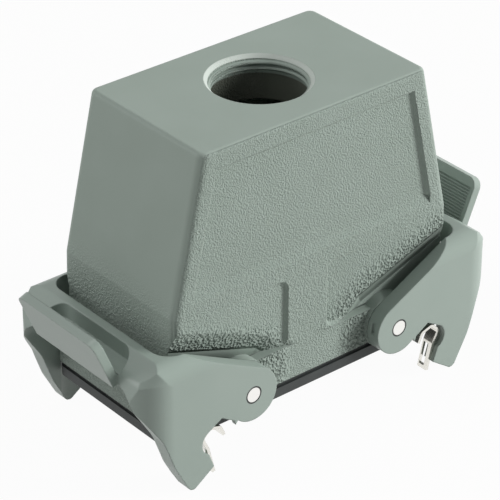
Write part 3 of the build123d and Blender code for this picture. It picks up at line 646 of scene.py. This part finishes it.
# %% Geometry Nodes helpers
def new_geometry_tree(name, inputs):
    """A geometry tree with named inputs and a mesh output."""
    tree = bpy.data.node_groups.new(name, "GeometryNodeTree")
    for label, kind in inputs.items():
        tree.interface.new_socket(label, in_out="INPUT", socket_type="NodeSocket" + kind)
    tree.interface.new_socket("Finish", in_out="INPUT", socket_type="NodeSocketMaterial")
    tree.interface.new_socket("Geometry", in_out="OUTPUT", socket_type="NodeSocketGeometry")
    return tree, add_node(tree, "NodeGroupInput")


def close_tree(tree, given, geometry):
    """Makes the geometry plain, gives it the tree's finish and sends it out."""
    whole = add_node(tree, "GeometryNodeRealizeInstances", {"Geometry": geometry})
    dressed = add_node(tree, "GeometryNodeSetMaterial", {"Geometry": whole.outputs[0],
                                                         "Material": given.outputs["Finish"]})
    add_node(tree, "NodeGroupOutput", {"Geometry": dressed.outputs[0]})


def baked_piece(name, tree, values):
    """Runs the tree and returns its result as a plain mesh object that rides on the hood."""
    carrier = bpy.data.objects.new(name + "_maker", bpy.data.meshes.new(name + "_maker"))
    bpy.context.scene.collection.objects.link(carrier)
    modifier = carrier.modifiers.new("maker", "NODES")
    modifier.node_group = tree
    for item in tree.interface.items_tree:
        if item.in_out == "INPUT" and item.name in values:
            modifier[item.identifier] = values[item.name]
    bpy.context.view_layer.update()
    made = carrier.evaluated_get(bpy.context.evaluated_depsgraph_get())
    mesh = bpy.data.meshes.new_from_object(made)
    bpy.data.objects.remove(carrier)
    mesh.name = name
    piece = bpy.data.objects.new(name, mesh)
    bpy.context.scene.collection.objects.link(piece)
    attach(piece, "hood")
    return piece


print("helpers ready")

# %% [markdown]
# ## The thread in the cable entry
# The entry has a metric thread with a pitch of 1.5 mm and 0.81 mm deep. Seen from above, its first turns
# show as light and dark rings on the far wall. It could be a bump, but a bump has no depth to hide light
# in. A thread is a small profile swept along a helix, so Geometry Nodes sweep a four-sided profile, wide
# at the wall and narrow at the crest, along a spiral curve. The tree's inputs are the thread's own sizes.
# The helix starts at 230 degrees, where its cut ends are on the near wall and out of sight.

# %% Thread
THREAD_START = math.radians(230)
THREAD = {"Radius": 0.0125, "Pitch": 0.0015, "Depth": 0.00081, "Turns": 2.0, "Top": entry_top - 0.0012}
STEPS_IN_TURN, HALF_ROOT = 72, 0.46

tree, given = new_geometry_tree("helical_thread", dict.fromkeys(THREAD, "Float"))
rise = add_node(tree, "ShaderNodeMath", {0: given.outputs["Pitch"], 1: given.outputs["Turns"]},
                operation="MULTIPLY")
bottom = add_node(tree, "ShaderNodeMath", {0: given.outputs["Top"], 1: rise.outputs[0]},
                  operation="SUBTRACT")
helix = add_node(tree, "GeometryNodeCurveSpiral", {"Resolution": STEPS_IN_TURN,
                                                   "Rotations": given.outputs["Turns"],
                                                   "Start Radius": given.outputs["Radius"],
                                                   "End Radius": given.outputs["Radius"],
                                                   "Height": rise.outputs[0]})
lift = add_node(tree, "ShaderNodeCombineXYZ", {"Z": bottom.outputs[0]})
placed = add_node(tree, "GeometryNodeTransform", {"Geometry": helix.outputs[0],
                                                  "Translation": lift.outputs[0],
                                                  "Rotation": (0, 0, THREAD_START)})
level_curve = add_node(tree, "GeometryNodeSetCurveNormal", {"Curve": placed.outputs[0]}, mode="Z_UP")
profile = add_node(tree, "GeometryNodeCurvePrimitiveCircle", {"Resolution": 4, "Radius": 1.0})
half_root = add_node(tree, "ShaderNodeMath", {0: given.outputs["Pitch"], 1: HALF_ROOT},
                     operation="MULTIPLY")
size = add_node(tree, "ShaderNodeCombineXYZ", {"X": given.outputs["Depth"], "Y": half_root.outputs[0],
                                               "Z": 1.0})
shaped = add_node(tree, "GeometryNodeTransform", {"Geometry": profile.outputs[0], "Scale": size.outputs[0]})
swept = add_node(tree, "GeometryNodeCurveToMesh", {"Curve": level_curve.outputs[0],
                                                   "Profile Curve": shaped.outputs[0], "Fill Caps": True})
close_tree(tree, given, swept.outputs[0])
thread = baked_piece("entry_thread", tree, {**THREAD, "Finish": casting})
radii = [math.hypot(v.co.x, v.co.y) * 1000 for v in thread.data.vertices]
heights = [v.co.z * 1000 for v in thread.data.vertices]
print("thread radii", round(min(radii), 2), "to", round(max(radii), 2), "mm")
print("thread z", round(min(heights), 2), "to", round(max(heights), 2), "mm,",
      len(thread.data.polygons), "faces")

# %% [markdown]
# ## Rings round the contact mouths
# On the mating face each contact sits behind a round mouth with a raised lip. Sixteen lips could be
# sixteen loops of a script, but Geometry Nodes say it once: two rows of points, and one small ring on
# every point. The row and the pitch come from the loaded contacts, so that the lips sit where the
# contacts are.

# %% Contact lips
CONTACTS_IN_ROW = 8
LIP_RADIUS, LIP_THICKNESS = 0.00165, 0.00017
LIP_SIDES, BEAD_SIDES = 24, 6

face_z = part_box("insert_body")[0][2]
centres = [sum((Vector(corner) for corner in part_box(f"socket_contact_{i:02d}")), Vector()) / 2
           for i in range(1, 2 * CONTACTS_IN_ROW + 1)]
pitch = (centres[CONTACTS_IN_ROW - 1].x - centres[0].x) / (CONTACTS_IN_ROW - 1)

tree, given = new_geometry_tree("contact_lips", {"Start": "Vector", "Pitch": "Float", "Row": "Float",
                                                 "Radius": "Float", "Lip": "Float"})
step = add_node(tree, "ShaderNodeCombineXYZ", {"X": given.outputs["Pitch"]})
first = add_node(tree, "GeometryNodeMeshLine", {"Count": CONTACTS_IN_ROW,
                                                "Start Location": given.outputs["Start"],
                                                "Offset": step.outputs[0]})
row = add_node(tree, "ShaderNodeCombineXYZ", {"Y": given.outputs["Row"]})
second = add_node(tree, "GeometryNodeTransform", {"Geometry": first.outputs[0],
                                                  "Translation": row.outputs[0]})
points = add_node(tree, "GeometryNodeJoinGeometry")
tree.links.new(first.outputs[0], points.inputs[0])
tree.links.new(second.outputs[0], points.inputs[0])
loop = add_node(tree, "GeometryNodeCurvePrimitiveCircle", {"Resolution": LIP_SIDES,
                                                           "Radius": given.outputs["Radius"]})
bead = add_node(tree, "GeometryNodeCurvePrimitiveCircle", {"Resolution": BEAD_SIDES,
                                                           "Radius": given.outputs["Lip"]})
ring = add_node(tree, "GeometryNodeCurveToMesh", {"Curve": loop.outputs[0],
                                                  "Profile Curve": bead.outputs[0]})
rings = add_node(tree, "GeometryNodeInstanceOnPoints", {"Points": points.outputs[0],
                                                        "Instance": ring.outputs[0]})
close_tree(tree, given, rings.outputs[0])
lips = baked_piece("contact_lips", tree, {"Start": (centres[0].x, centres[0].y, face_z), "Pitch": pitch,
                                          "Row": centres[CONTACTS_IN_ROW].y - centres[0].y,
                                          "Radius": LIP_RADIUS, "Lip": LIP_THICKNESS, "Finish": polyamide})
print("lips:", len(lips.data.polygons), "faces, pitch", round(pitch * 1000, 2), "mm")

# %% [markdown]
# ## Contact numbers
# Every contact has a number on the mating face, from 1 to 16, so that both halves are wired alike. The
# real numbers are moulded or printed about 2 mm high. String to Curves draws each one from Blender's own
# font, Fill Curve makes it a face, and a half turn makes it face down, where it is read from.

# %% Contact numbers
NUMBER_HEIGHT, NUMBER_AWAY, NUMBER_PROUD = 0.0021, 0.0036, 0.00003
# A digit of Blender's font is about 0.7 of the size that is asked for.
SIZE_OF_HEIGHT = 1.4

tree, given = new_geometry_tree("contact_numbers", {"Size": "Float"})
numbers = add_node(tree, "GeometryNodeJoinGeometry")
for index, centre in enumerate(centres, 1):
    word = add_node(tree, "GeometryNodeStringToCurves", {"String": str(index),
                                                         "Size": given.outputs["Size"]},
                    align_x="CENTER", align_y="MIDDLE")
    drawn = add_node(tree, "GeometryNodeRealizeInstances", {"Geometry": word.outputs[0]})
    filled = add_node(tree, "GeometryNodeFillCurve", {"Curve": drawn.outputs[0]})
    outer = centre.y + math.copysign(NUMBER_AWAY, centre.y)
    placed = add_node(tree, "GeometryNodeTransform", {"Geometry": filled.outputs[0],
                                                      "Rotation": (math.pi, 0, 0),
                                                      "Translation": (centre.x, outer,
                                                                      face_z - NUMBER_PROUD)})
    tree.links.new(placed.outputs[0], numbers.inputs[0])
close_tree(tree, given, numbers.outputs[0])
digits = baked_piece("contact_numbers", tree, {"Size": NUMBER_HEIGHT * SIZE_OF_HEIGHT, "Finish": ink})
print("numbers:", len(digits.data.polygons), "faces")
